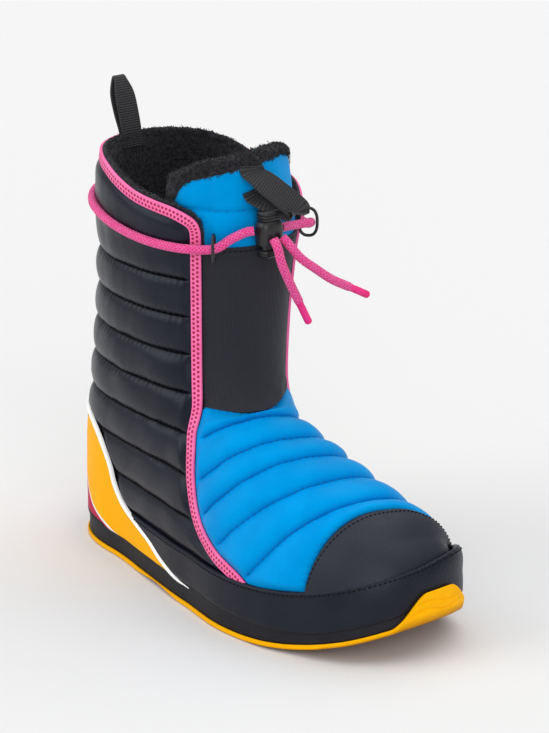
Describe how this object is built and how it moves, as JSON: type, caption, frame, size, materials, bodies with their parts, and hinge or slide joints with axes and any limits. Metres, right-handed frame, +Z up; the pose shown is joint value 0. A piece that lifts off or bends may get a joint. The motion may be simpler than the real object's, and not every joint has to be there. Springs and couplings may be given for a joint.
{
  "type": "bootie",
  "caption": "Quilted fleece-lined slip-in bootie for the right foot, with a flat rubber sole, a padded tongue and a drawcord held by a sprung cord lock.",
  "frame": {"origin": "middle of the bottom of the box around the shoe without the cord's free ends, on the ground", "axes": "+X to the toe, +Y to the inner side of the foot, +Z up"},
  "size_m": [0.3037, 0.1312, 0.2908],
  "materials": {
    "outsole_rubber": "matte moulded",
    "midsole_rubber": "matte moulded",
    "fleece": "brushed pile",
    "quilted_leather": "soft satin",
    "blue_leather": "soft satin",
    "stretch_weave": "matte weave",
    "smooth_leather": "satin",
    "heel_panel": "smooth satin",
    "webbing": "woven",
    "black_plastic": "moulded",
    "pink_braid": "braided",
    "cord_tip": "moulded"
  },
  "bodies": {
    "boot": {"outsole": "outsole_rubber", "midsole": "midsole_rubber", "insole": "fleece", "upper": "quilted_leather", "tongue": "blue_leather", "gusset": "stretch_weave", "rand": "smooth_leather", "toe_cap": "smooth_leather", "heel_counter": "heel_panel", "pull_loop": "webbing", "tongue_loop": "webbing", "keeper_outer": "black_plastic", "keeper_inner": "black_plastic", "drawcord": "pink_braid", "cord_end_short": "pink_braid", "cord_end_long": "pink_braid", "cord_tip_short": "cord_tip", "cord_tip_long": "cord_tip", "cord_lock": "black_plastic"},
    "lock_button": {"cord_lock_button": "black_plastic"}
  },
  "joints": [
    {"name": "lock_button_press", "type": "slide", "parent": "boot", "child": "lock_button", "axis": [0, 0, 1], "range_m": [0, 0.0025], "stiffness_N_per_m": 400}
  ]
}
